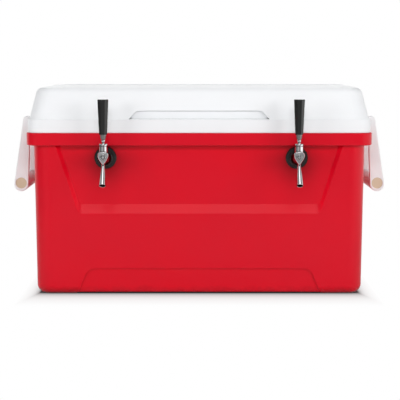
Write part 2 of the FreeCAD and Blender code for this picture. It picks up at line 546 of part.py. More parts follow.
def drain_pieces():
    """Bushing, gasket, nut, plug and ring seal; distances run out from the pocket's floor."""
    flange_foot = DRAIN_GASKET_THICK
    flange_top = flange_foot + DRAIN_FLANGE_THICK
    nut_end = -DRAIN_WALL - DRAIN_NUT_THICK
    bushing = turned([(DRAIN_BORE, nut_end - DRAIN_TAIL), (DRAIN_TUBE, nut_end - DRAIN_TAIL),
                      (DRAIN_TUBE, flange_foot), (DRAIN_FLANGE, flange_foot),
                      (DRAIN_FLANGE, flange_top - DRAIN_EDGE), (DRAIN_FLANGE - DRAIN_EDGE, flange_top),
                      (DRAIN_BORE, flange_top)], DRAIN, RIGHT)
    gasket = ring(DRAIN_TUBE, DRAIN_FLANGE, 0, DRAIN_GASKET_THICK, DRAIN, RIGHT)
    nut = hex_nut(DRAIN_NUT_FLATS, DRAIN_TUBE, nut_end, -DRAIN_WALL, DRAIN, RIGHT)
    head_foot, tip = flange_top + PLUG_HEAD_GAP, flange_top - PLUG_LENGTH
    head_top = flange_top + PLUG_HEAD_THICK
    groove_low = flange_top - RING_PLACE
    groove_high = groove_low + RING_WIDTH
    seal_radius = DRAIN_BORE - RING_RUNNING
    groove = seal_radius - RING_DEPTH
    plug = turned([(0, tip), (PLUG_SHAFT - DRAIN_EDGE, tip), (PLUG_SHAFT, tip + PLUG_TIP),
                   (PLUG_SHAFT, groove_low), (groove, groove_low), (groove, groove_high),
                   (PLUG_SHAFT, groove_high), (PLUG_SHAFT, head_foot), (PLUG_HEAD, head_foot),
                   (PLUG_HEAD, head_top - DRAIN_EDGE), (PLUG_HEAD - DRAIN_EDGE, head_top),
                   (0, head_top)], DRAIN, RIGHT)
    seal = ring(groove, seal_radius, groove_low, groove_high, DRAIN, RIGHT)
    return bushing, gasket, nut, plug, seal


# --- through-wall fittings: u runs out from the wall's outer face, along FRONT

WALL = PANEL_FACE - CAVITY_DEPTH / 2
FLANGE_TOP = FLANGE_THICK + FLANGE_COLLAR_THICK
SHANK_TOP = FLANGE_TOP + NUT_LIP + SHANK_HEAD_THICK
SHANK_TAIL = -WALL - SHANK_INSIDE
FAUCET_FOOT = SHANK_TOP + GASKET_THICK
HOSE_START = -SHANK_TAIL + TAIL_WASHER_THICK + TAIL_FLANGE_THICK + BEER_NUT_LIP + HOSE_GAP
HOSE_DROP_Y = PANEL_FACE - HOSE_START - HOSE_RUN - HOSE_BEND   # where a hose comes down


def wall_flange():
    return turned([(SHANK + SHANK_FIT, 0), (FLANGE, 0), (FLANGE, FLANGE_THICK - FLANGE_EDGE),
                   (FLANGE - FLANGE_EDGE, FLANGE_THICK), (FLANGE_COLLAR, FLANGE_THICK),
                   (FLANGE_COLLAR, FLANGE_TOP - COLLAR_EDGE), (FLANGE_COLLAR - COLLAR_EDGE, FLANGE_TOP),
                   (SHANK + SHANK_FIT, FLANGE_TOP)])


def tap_shank():
    head_foot = FLANGE_TOP + NUT_LIP
    return turned([(SHANK_BORE, SHANK_TAIL), (SHANK, SHANK_TAIL), (SHANK, head_foot),
                   (SHANK_HEAD, head_foot), (SHANK_HEAD, SHANK_TOP), (SHANK_BORE, SHANK_TOP)])


def inlet_shank():
    """Bulkhead shank with a shoulder on the flange and a free threaded end."""
    shoulder = FLANGE_TOP + NUT_LIP
    wide = FLANGE_COLLAR - 2 * COLLAR_EDGE
    return turned([(SHANK_BORE, SHANK_TAIL), (SHANK, SHANK_TAIL), (SHANK, FLANGE_TOP), (wide, FLANGE_TOP),
                   (wide, shoulder), (SHANK, shoulder), (SHANK, INLET_OUTSIDE),
                   (SHANK_BORE, INLET_OUTSIDE)])


def coupling_nut():
    foot, top = FLANGE_TOP, FLANGE_TOP + NUT_LENGTH
    nut = turned([(SHANK + SHANK_FIT, foot), (NUT_RADIUS, foot), (NUT_RADIUS, top - NUT_EDGE),
                  (NUT_RADIUS - NUT_EDGE, top), (SHANK_HEAD + SHANK_FIT, top),
                  (SHANK_HEAD + SHANK_FIT, foot + NUT_LIP), (SHANK + SHANK_FIT, foot + NUT_LIP)])
    middle = (foot + top) / 2
    holes = []
    for i in range(SPANNER_HOLES):
        out = FreeCAD.Rotation(FRONT, 360 * i / SPANNER_HOLES).multVec(UP)
        start = FRONT * middle + out * (NUT_RADIUS - SPANNER_DEPTH)
        holes.append(rod(SPANNER_HOLE, start, start + out * PAST))
    return nut.cut(holes)


def inside_fittings():
    """Washer, locknut, tail washer, tailpiece and nut behind one shank."""
    washer = ring(SHANK + SHANK_FIT, WASHER, -WALL - WASHER_THICK, -WALL)
    locknut = hex_nut(LOCKNUT_FLATS, SHANK + SHANK_FIT / 2, -WALL - WASHER_THICK - LOCKNUT_THICK,
                      -WALL - WASHER_THICK)
    seat = SHANK_TAIL - TAIL_WASHER_THICK
    tail_washer = ring(SHANK_BORE, TAIL_WASHER, seat, SHANK_TAIL)
    flange_back = seat - TAIL_FLANGE_THICK
    end = flange_back - TAIL_LENGTH
    tail = turned([(TAIL_BORE, seat), (TAIL_WASHER, seat), (TAIL_WASHER, flange_back),
                   (TAIL_STEM, flange_back), (TAIL_STEM, end), (TAIL_BORE, end)])
    lip_back = flange_back - BEER_NUT_LIP
    beer_nut = hex_nut(BEER_NUT_FLATS, TAIL_STEM + SHANK_FIT, lip_back, SHANK_TAIL + BEER_NUT_GRIP)
    thread = rod(SHANK + SHANK_FIT / 2, FRONT * flange_back, FRONT * (SHANK_TAIL + 2 * BEER_NUT_GRIP))
    beer_nut = beer_nut.cut(thread)
    return washer, locknut, tail_washer, tail, beer_nut


def clamp(origin, along):
    """Band round the hose, with the ear that is crimped shut."""
    bore = HOSE + HOSE_FIT
    band = ring(bore, HOSE + CLAMP_WALL, 0, CLAMP_WIDTH, origin, along)
    across = UP if abs(along.z) < 0.5 else RIGHT
    ear_foot = origin + across * (HOSE + CLAMP_WALL + CLAMP_EAR / 4)
    ear = rod(CLAMP_EAR / 2, ear_foot, ear_foot + along * CLAMP_WIDTH)
    return band.fuse(ear).cut(rod(bore, origin - along * PAST, origin + along * (CLAMP_WIDTH + PAST)))


# --- faucet: u runs out from the wall along FRONT, z is above the shank's axis

def on_valve_axis(shape):
    shape.translate(UP * VALVE_Z)
    return shape


def shield_wire(u, scale):
    """Heart-shaped outline of the faucet's face at distance u."""
    right = [V(x, 0, z) for x, z in SHIELD_HALF]
    left = [V(-p.x, 0, p.z) for p in reversed(right[1:])]
    outline = right + [V(0, 0, SHIELD_FOOT)] + left
    middle = V(0, 0, VALVE_Z)
    points = [middle + (p - middle) * scale + FRONT * u for p in outline]
    curve = Part.BSplineCurve()
    curve.interpolate(points, PeriodicFlag=True)
    return Part.Wire([curve.toShape()])


def spout_axis():
    lean = math.radians(SPOUT_TILT)
    return FRONT * math.sin(lean) + DOWN * math.cos(lean)


def spout_form():
    start = FRONT * SPOUT_U + UP * SPOUT_Z
    axis = spout_axis()
    deep = axis.cross(RIGHT)
    sections = []
    for share, half_width, half_depth in SPOUT_SECTIONS:
        centre = start + axis * (share * SPOUT_LENGTH)
        oval = Part.Ellipse(centre + deep * half_depth, centre + RIGHT * half_width, centre)
        sections.append(Part.Wire([oval.toShape()]))
    return Part.makeLoft(sections, True, False)


def spout_bore():
    start = FRONT * SPOUT_U + UP * SPOUT_Z + spout_axis() * SPOUT_BORE_START
    length = SPOUT_LENGTH - SPOUT_BORE_START
    flare = (SPOUT_BORE_END - SPOUT_BORE_TOP) / length
    return Part.makeCone(SPOUT_BORE_TOP, SPOUT_BORE_END + flare * PAST, length + PAST, start, spout_axis())


def bell():
    """Flared rear of the faucet that meets the coupling nut."""
    spigot_top = FLANGE_TOP + NUT_LENGTH + NUT_GAP
    rim_top = spigot_top + BELL_RIM
    curve = Part.BSplineCurve()
    curve.interpolate([V(0, -u, r) for u, r in ((rim_top, BELL),) + BELL_CURVE + ((BELL_END, BELL_TIP),)])
    corners = [(BELL_END, BELL_TIP), (BELL_END, 0), (FAUCET_FOOT, 0), (FAUCET_FOOT, SHANK_HEAD),
               (spigot_top, SHANK_HEAD), (spigot_top, BELL), (rim_top, BELL)]
    edges = [curve.toShape()] + Part.makePolygon([V(0, -u, r) for u, r in corners]).Edges
    solid = Part.Face(Part.Wire(edges)).revolve(V(0, 0, 0), FRONT, 360)
    if solid.Volume < 0:
        solid.reverse()
    return solid


def faucet_body():
    taper = Part.makeCone(TAPER_RADIUS, BARREL, TAPER_END - TAPER_START, FRONT * TAPER_START, FRONT)
    barrel = on_valve_axis(taper.fuse(rod(BARREL, FRONT * TAPER_END, FRONT * BARREL_END)))
    shield = Part.makeLoft([shield_wire(u, scale) for u, scale in SHIELD_SECTIONS], True, True)
    lever_foot = FRONT * LEVER_U
    housing = rod(HOUSING, lever_foot, lever_foot + UP * HOUSING_TOP)
    body = bell().fuse([barrel, housing, spout_form()]).fuse(shield)
    bonnet_space = rod(BONNET_FLANGE + NUT_GAP, lever_foot + UP * HOUSING_TOP,
                       lever_foot + UP * (HOUSING_TOP + PAST))
    inlet = rod(GASKET_BORE, FRONT * (FAUCET_FOOT - PAST), FRONT * (CHAMBER_START + PAST))
    chambers = on_valve_axis(rod(CHAMBER, FRONT * CHAMBER_START, FRONT * SEAT_START)).fuse(
        on_valve_axis(rod(CHAMBER, FRONT * (SEAT_START + SEAT_THICK), FRONT * CHAMBER_END)))
    seat = on_valve_axis(rod(SEAT_BORE, FRONT * (SEAT_START - 1), FRONT * (SEAT_START + SEAT_THICK + 1)))
    lever_bore = rod(HOUSING_BORE, lever_foot + UP * VALVE_Z, lever_foot + UP * (HOUSING_TOP + PAST))
    vent = rod(VENT, FRONT * (SPOUT_U + PAST) + UP * VENT_Z, FRONT * (FACE + PAST) + UP * VENT_Z)
    cap_seat = on_valve_axis(rod(CAP + SHANK_FIT, FRONT * (FACE - CAP_SEAT), FRONT * (FACE + PAST)))
    return body.cut([bonnet_space, inlet, chambers, seat, lever_bore, spout_bore(), vent, cap_seat])


def front_cap():
    """Round cap in the face, with one plain ring groove."""
    foot, top = FACE - CAP_SEAT, FACE + CAP_STAND
    groove_out, groove_in, groove_floor = 0.75 * CAP, 0.6 * CAP, top - CAP_GROOVE
    return on_valve_axis(turned([(0, foot), (CAP, foot), (CAP, top - CAP_EDGE), (CAP - CAP_EDGE, top),
                                 (groove_out, top), (groove_out, groove_floor), (groove_in, groove_floor),
                                 (groove_in, top), (0, top)]))


def bonnet():
    """Threaded ring that keeps the lever's ball down."""
    foot, edge = FRONT * LEVER_U, BONNET_EDGE
    outside = turned([(0, HOUSING_TOP), (BONNET, HOUSING_TOP), (BONNET, BONNET_GROOVE_LOW),
                      (BONNET_GROOVE, BONNET_GROOVE_LOW + edge), (BONNET_GROOVE, BONNET_GROOVE_HIGH),
                      (BONNET_FLANGE, BONNET_GROOVE_HIGH + edge), (BONNET_FLANGE, BONNET_TOP - 2 * edge),
                      (BONNET_FLANGE - 2 * edge, BONNET_TOP), (0, BONNET_TOP)], foot, UP)
    below, above = BONNET_LIP_Z - 1, BONNET_TOP + 1
    mouth = turned([(0, below), (BONNET_LIP, below), (BONNET_LIP, BONNET_LIP_Z),
                    (BONNET_MOUTH, BONNET_TOP), (BONNET_MOUTH, above), (0, above)], foot, UP)
    ball_space = Part.makeSphere(BALL + BALL_FIT, foot + UP * BALL_Z)
    bore = rod(BALL + BALL_FIT, foot + UP * (HOUSING_TOP - 1), foot + UP * BALL_Z)
    return outside.cut([mouth, ball_space, bore])


def friction_washer():
    foot = FRONT * LEVER_U
    washer = ring(FRICTION_BORE, BALL + BALL_FIT / 2, HOUSING_TOP, HOUSING_TOP + FRICTION_THICK, foot, UP)
    return washer.cut(Part.makeSphere(BALL + BALL_FIT, foot + UP * BALL_Z))


def lever():
    """Ball, tip below it, neck, bead and stud above it, in one turned piece."""
    foot = FRONT * LEVER_U
    ball_centre = foot + UP * BALL_Z
    tip_centre = ball_centre + DOWN * TIP_LENGTH
    pieces = [rod(TIP_NECK, ball_centre, tip_centre), Part.makeSphere(TIP_BALL, tip_centre),
              rod(NECK, ball_centre, foot + UP * BEAD_Z), Part.makeSphere(BEAD, foot + UP * BEAD_Z),
              rod(STUD, foot + UP * BEAD_Z, foot + UP * STUD_TOP)]
    return Part.makeSphere(BALL, ball_centre).fuse(pieces)


def ferrule():
    foot = FRONT * LEVER_U
    bore = STUD + STUD_FIT
    return turned([(bore, FERRULE_FOOT), (FERRULE_LOW, FERRULE_FOOT),
                   (FERRULE_HIGH, FERRULE_TOP - FERRULE_LAND), (FERRULE_HIGH, FERRULE_TOP),
                   (bore, FERRULE_TOP)], foot, UP)


def knob():
    """Eight-sided grip that widens towards its flat top."""
    def octagon(flats, z):
        reach = flats / 2 / math.cos(math.pi / KNOB_SIDES)
        angles = [2 * math.pi * (i + 0.5) / KNOB_SIDES for i in range(KNOB_SIDES)]
        return [V(reach * math.cos(a), reach * math.sin(a) - LEVER_U, z) for a in angles]

    solid = flat_sided(octagon(KNOB_LOW_FLATS, FERRULE_TOP), octagon(KNOB_HIGH_FLATS, KNOB_TOP))
    solid = rounded(solid, KNOB_EDGE, lambda edge: True)
    foot = FRONT * LEVER_U
    return solid.cut(rod(STUD + STUD_FIT, foot + UP * (FERRULE_TOP - PAST), foot + UP * (STUD_TOP + 1)))


def plunger():
    """Valve stem: head behind the seat, and a slot between two flanges for the lever's tip."""
    slot_half = TIP_BALL + SLOT_GAP
    head_top = SEAT_START - SEAL_GAP - SEAL_THICK
    head_foot = head_top - PLUNGER_HEAD_THICK
    rear, front = LEVER_U - slot_half, LEVER_U + slot_half
    return on_valve_axis(turned([
        (0, head_foot), (PLUNGER_HEAD, head_foot), (PLUNGER_HEAD, head_top), (STEM, head_top),
        (STEM, rear - SLOT_FLANGE_THICK), (SLOT_FLANGE, rear - SLOT_FLANGE_THICK), (SLOT_FLANGE, rear),
        (SLOT_STEM, rear), (SLOT_STEM, front), (SLOT_FLANGE, front),
        (SLOT_FLANGE, front + SLOT_FLANGE_THICK), (0, front + SLOT_FLANGE_THICK)]))


def plunger_seal():
    foot = SEAT_START - SEAL_GAP - SEAL_THICK
    top = foot + SEAL_THICK
    return on_valve_axis(turned([(STEM, foot), (SEAL, foot), (SEAL, top - SEAL_EDGE),
                                 (SEAL - SEAL_EDGE, top), (STEM, top)]))


# --- cold plate

PLATE_TOP = CAVITY_FLOOR + PLATE_THICK


def stub_places():
    taps = [V(x, -HOSE_DROP_Y, PLATE_TOP + BOSS_RISE) for x in TAP_X]
    return taps + [V(x, HOSE_DROP_Y, PLATE_TOP + BOSS_RISE) for x in INLET_X]


def cold_plate():
    """Cast slab over the coil, with a ridge along each run of the coil."""
    slab = block(PLATE_LENGTH, PLATE_DEPTH, CAVITY_FLOOR, PLATE_TOP, PLATE_CORNER)
    slab = rounded(slab, PLATE_EDGE, at_height(PLATE_TOP))
    half = PLATE_LENGTH / 2 - RIDGE_SHORT
    z = PLATE_TOP + RIDGE_RISE - RIDGE_RADIUS
    for i in range(RIDGE_COUNT):
        y = (i - (RIDGE_COUNT - 1) / 2) * RIDGE_PITCH
        slab = slab.fuse(rod(RIDGE_RADIUS, V(-half, y, z), V(half, y, z)))
    slab.translate(RIGHT * TAP_SHIFT)
    bosses = [rod(BOSS, place + DOWN * 2 * BOSS_RISE, place) for place in stub_places()]
    sockets = [rod(TAIL_BORE, place + DOWN * 3 * BOSS_RISE, place) for place in stub_places()]
    return slab.fuse(bosses).removeSplitter().cut(sockets)


def plate_stub(place):
    base = hex_nut(STUB_FLATS, TAIL_BORE, 0, STUB_HEX, place, UP)
    return base.fuse(ring(TAIL_BORE, TAIL_STEM, STUB_HEX, STUB_HEX + STUB_LENGTH, place, UP))


def hose_solid(radius, start, bend_start, end):
    """Two straight runs joined by a quarter bend in the upright plane through them."""
    run = (bend_start - start).normalize()
    centre = bend_start + DOWN * HOSE_BEND
    section = Part.Face(Part.Wire([Part.makeCircle(radius, bend_start, run)]))
    bend = section.revolve(centre, UP.cross(run), 90)
    if bend.Volume < 0:
        bend.reverse()
    return rod(radius, start, bend_start).fuse([bend, rod(radius, centre + run * HOSE_BEND, end)])


def hose(x, side, wall_y):
    """Hose from a tailpiece down to its stub, and its two clamps."""
    inward = BACK * side
    start = V(x, wall_y, TAP_Z) + inward * HOSE_START
    bend_start = V(x, -side * (HOSE_DROP_Y + HOSE_BEND), TAP_Z)
    end = V(x, -side * HOSE_DROP_Y, PLATE_TOP + BOSS_RISE + STUB_HEX + HOSE_GAP)
    tube = hose_solid(HOSE, start, bend_start, end)
    tube = tube.cut(hose_solid(TAIL_STEM + HOSE_FIT, start, bend_start, end))
    clamps = [clamp(start + inward * CLAMP_SET, inward), clamp(end + UP * CLAMP_SET, UP)]
    return tube, clamps


# --- the whole object

TAP_X = (TAP_SHIFT - TAP_PITCH / 2, TAP_SHIFT + TAP_PITCH / 2)
INLET_X = (-INLET_PITCH / 2, INLET_PITCH / 2)
TAP_WALL, INLET_WALL = -PANEL_FACE, PANEL_FACE


def at_tap(shape, x):
    placed = shape.copy()
    placed.translate(V(x, TAP_WALL, TAP_Z))
    return placed


def at_inlet(shape, x):
    placed = shape.copy()
    placed.rotate(V(0, 0, 0), UP, 180)
    placed.translate(V(x, INLET_WALL, TAP_Z))
    return placed


def at_taps(shape):
    return [at_tap(shape, x) for x in TAP_X]


def at_all(shape):
    return at_taps(shape) + [at_inlet(shape, x) for x in INLET_X]


def wall_holes():
    """Holes through the chest's walls for the shanks and the drain, and the drain's pocket."""
    through = rod(SHANK + SHANK_FIT, FRONT * -(WALL + PAST), FRONT * PAST)
    drain = rod(DRAIN_TUBE, DRAIN - RIGHT * (DRAIN_WALL + PAST), DRAIN + RIGHT * PAST)
    return at_all(through) + [drain]


def chest_pieces():
    inside = chest_form(SKIN)
    liner_outside = liner_form()
    screws = [screw_hole(*place) for place in chest_screw_places() + bracket_screw_places()]
    screws += [mirrored(screw_hole(*place)) for place in bracket_screw_places()]
    pocket = rod(DRAIN_POCKET_RADIUS, DRAIN, DRAIN + RIGHT * 2 * PAST)
    pocket_skin = rod(DRAIN_POCKET_RADIUS + SKIN, DRAIN - RIGHT * SKIN, DRAIN + RIGHT * 2 * PAST)
    inside = inside.cut(pocket_skin)
    holes = wall_holes()
    shell = chest_form(0).cut(pocket).cut(inside).cut(holes + screws)
    liner = liner_outside.cut(cavity(RIM_TOP)).cut(holes + screws)
    foam = inside.cut(liner_outside).cut(holes + screws)
    return shell, liner, foam


def save(name, shapes):
    """Write one node; a list is a group of separate solids."""
    shapes = shapes if isinstance(shapes, list) else [shapes]
    solids = [solid for shape in shapes for solid in shape.Solids]
    shape = solids[0] if len(solids) == 1 else Part.makeCompound(solids)
    shape.exportStep("parts/" + name + ".step")
    print(name, len(solids), round(shape.Volume / 1000, 2), "cm3", "" if shape.isValid() else "NOT VALID")


def build_chest():
    shell, liner, foam = chest_pieces()
    save("cooler_shell", shell)
    save("cooler_liner", liner)
    save("chest_insulation", foam)
    shell, liner, foam = lid_pieces()
    save("lid_shell", shell)
    save("lid_liner", liner)
    save("lid_insulation", foam)
    chest_leaves, lid_leaves, pins = hinge_pieces()
    save("hinge_chest_leaves", chest_leaves)
    save("hinge_lid_leaves", lid_leaves)
    save("hinge_pins", pins)
    save("hinge_chest_screws", [pan_screw(*place) for place in chest_screw_places()])
    save("hinge_lid_screws", [pan_screw(*place) for place in lid_screw_places()])
    for name, shape in zip(("bushing", "gasket", "nut", "plug", "plug_seal"), drain_pieces()):
        save("drain_" + name, shape)


def build_handles():
    bracket_screws = [pan_screw(*place) for place in bracket_screw_places()]
    for side, flip in (("right", lambda shape: shape), ("left", mirrored)):
        save(side + "_handle", flip(handle()))
        save(side + "_grip_core", flip(grip_core()))
        save(side + "_handle_bracket", flip(handle_bracket()))
    save("handle_pivot_pins", pivot_pins() + [mirrored(pin) for pin in pivot_pins()])
    save("handle_bracket_screws", bracket_screws + [mirrored(screw) for screw in bracket_screws])


def build_wall_fittings():
    save("wall_flanges", at_all(wall_flange()))
    save("tap_shanks", at_taps(tap_shank()))
    save("inlet_shanks", [at_inlet(inlet_shank(), x) for x in INLET_X])
    save("coupling_nuts", at_taps(coupling_nut()))
    save("coupling_gaskets", at_taps(ring(GASKET_BORE, SHANK_HEAD - SHANK_FIT, SHANK_TOP, FAUCET_FOOT)))
    names = ("shank_washers", "shank_locknuts", "tail_washers", "tailpieces", "tail_nuts")
    for name, shape in zip(names, inside_fittings()):
        save(name, at_all(shape))


def build_faucets():
    body, cap_shape = faucet_body(), front_cap()
    for side, x in zip(("left", "right"), TAP_X):
        save(side + "_faucet_body", at_tap(body, x))
        save(side + "_lever", at_tap(lever(), x))
        save(side + "_ferrule", at_tap(ferrule(), x))
        save(side + "_knob", at_tap(knob(), x))
        save(side + "_plunger", at_tap(plunger(), x))
        save(side + "_plunger_seal", at_tap(plunger_seal(), x))
    save("faucet_caps", at_taps(cap_shape))
    save("faucet_bonnets", at_taps(bonnet()))
    save("friction_washers", at_taps(friction_washer()))


def build_cooling():
    save("cold_plate", cold_plate())
    save("cold_plate_stubs", [plate_stub(place) for place in stub_places()])
    tap_hoses = [hose(x, 1, TAP_WALL) for x in TAP_X]
    inlet_hoses = [hose(x, -1, INLET_WALL) for x in INLET_X]
    save("tap_hoses", [tube for tube, _ in tap_hoses])
    save("inlet_hoses", [tube for tube, _ in inlet_hoses])
    save("hose_clamps", [ring_band for _, clamps in tap_hoses + inlet_hoses for ring_band in clamps])


os.makedirs("parts", exist_ok=True)
build_chest()
build_handles()
build_wall_fittings()
build_faucets()
build_cooling()
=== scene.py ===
"""Looks of the two-tap jockey box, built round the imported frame. Metres, +Z up, the front faces -Y."""
import json
import math

import bmesh
import bpy
from mathutils import Matrix, Vector
from mathutils.bvhtree import BVHTree


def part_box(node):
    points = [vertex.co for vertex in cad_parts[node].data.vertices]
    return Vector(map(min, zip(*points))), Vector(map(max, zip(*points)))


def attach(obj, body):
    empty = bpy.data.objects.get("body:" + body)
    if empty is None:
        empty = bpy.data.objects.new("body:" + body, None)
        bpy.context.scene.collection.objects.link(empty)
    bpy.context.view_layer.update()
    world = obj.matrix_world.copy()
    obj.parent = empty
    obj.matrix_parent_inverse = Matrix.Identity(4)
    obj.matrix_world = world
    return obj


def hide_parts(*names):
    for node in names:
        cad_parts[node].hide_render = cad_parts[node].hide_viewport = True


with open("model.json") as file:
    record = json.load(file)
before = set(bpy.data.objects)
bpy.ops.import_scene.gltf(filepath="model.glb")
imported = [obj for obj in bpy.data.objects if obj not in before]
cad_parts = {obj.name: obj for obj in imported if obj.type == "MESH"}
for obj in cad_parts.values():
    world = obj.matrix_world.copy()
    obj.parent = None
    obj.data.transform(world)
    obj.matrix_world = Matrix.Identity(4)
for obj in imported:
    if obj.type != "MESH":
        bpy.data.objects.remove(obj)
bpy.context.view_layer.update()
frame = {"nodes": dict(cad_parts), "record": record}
NODES = frame["nodes"]
MM = 0.001

# --- camera: the photograph's viewing angle, for a square picture
CAMERA_PLACE = (0.0, -2.795, 0.475)
CAMERA_DOWN = 6.20               # degrees below level
CAMERA_LENS, SENSOR = 118.8, 36.0
CAMERA_SHIFT = 0.002

# --- lamps: place, spot that they aim at, width and height, power
LAMPS = {
    "key": ((0.0, -2.5, 1.5), (0, 0, 0.25), (1.8, 0.5), 19.1),
    "left": ((-1.9, -1.85, 0.8), (0, 0, 0.25), (1.0, 0.8), 13.5),
    "right": ((1.9, -1.85, 0.8), (0, 0, 0.25), (1.0, 0.8), 17.4),
    "back": ((0.0, 2.3, 1.3), (0, 0, 0.3), (2.4, 1.2), 44.0),
}

# --- surroundings; directions are parts of a unit vector
WORLD_LEVEL = 0.36               # light that they give
STUDIO = (                       # what metal mirrors, from left (-1) to right (1)
    (-1.0, 0.15), (-0.78, 0.15), (-0.58, 0.50), (-0.22, 0.46), (0.0, 0.40), (0.10, 0.30),
    (0.30, 0.14), (0.50, 0.24), (0.70, 1.2), (1.0, 1.5))
STUDIO_END = (0.15, 0.45)        # how far back the studio's bands turn to plain white
OVERHEAD, OVERHEAD_ROUND = 2.4, 0.3      # a strip softbox above, and the level beside it
OVERHEAD_RISE, OVERHEAD_ASIDE = (0.35, 0.60), (0.13, 0.27)

# --- floor, with a painted soft shadow round the chest
FLOOR_RADIUS, FLOOR_SEGMENTS, FLOOR_DROP = 1.6, 96, 0.2 * MM
FLOOR_COLOUR = (0.85, 0.85, 0.85, 1)
FOOT_HALF = (0.3275, 0.1805)     # footprint of the chest
SHADOW_DEPTH, SHADOW_REACH = 0.40, 0.024
SHADOW_SIDES = 4.0               # how much sooner the shadow ends at the sides than in front
FADE_OUT = 0.12                  # where the floor is plain white to the camera
SOFT_SHARE = 0.75                # share of the floor that the painted soft shadow gives, of 1

# --- patterns in the materials
NARROW = 0.3                     # noise seldom leaves the range from this to 1 less this
CREASE_SHUT, CREASE_OPEN, CREASE_SAMPLES = 0.25, 0.52, 6    # open shares of a crease and beyond it, for the painted shade in creases
RING_SOFT = 0.15                 # soft part of a ring's edge, of half its width
SLOPE = (0.2, 0.7)               # sideways part of the normal where a face starts and ends to count for the painted light on sloping sides
RAGGED_SIZE, RAGGED_RISE = 20 * MM, 0.25     # upper edge of the painted shade near the floor; its rise is of its height
EDGE_TINT = (0.35, 0.35, 0.35, 1)        # of plated metal seen along its surface
FOAM_CELLS = 700.0                       # in each metre


# ---------------------------------------------------------------- materials

class Nodes:
    """A tree of shader nodes and short ways to add to it."""

    def __init__(self, tree):
        self.tree = tree

    def plug(self, socket, value):
        """Link a socket to another one, or set it to a number, colour or vector."""
        if isinstance(value, bpy.types.NodeSocket):
            self.tree.links.new(value, socket)
        else:
            socket.default_value = value

    def node(self, kind, inputs=(), **settings):
        made = self.tree.nodes.new(kind)
        for key, value in settings.items():
            setattr(made, key, value)
        for key, value in dict(inputs).items():
            self.plug(made.inputs[key], value)
        return made

    def math(self, operation, *values):
        return self.node("ShaderNodeMath", dict(enumerate(values)), operation=operation).outputs[0]

    def ranged(self, value, low, high, start, end):
        """The value's range low to high turned into start to end, and held beyond it."""
        made = self.node("ShaderNodeMapRange", {"Value": value, "From Min": low, "From Max": high,
                                                "To Min": start, "To Max": end})
        return made.outputs["Result"]

    def mixed(self, amount, first, second):
        """A number between two others."""
        return self.node("ShaderNodeMix", {0: amount, 2: first, 3: second}, data_type="FLOAT").outputs[0]

    def apart(self, vector):
        return self.node("ShaderNodeSeparateXYZ", {"Vector": vector}).outputs


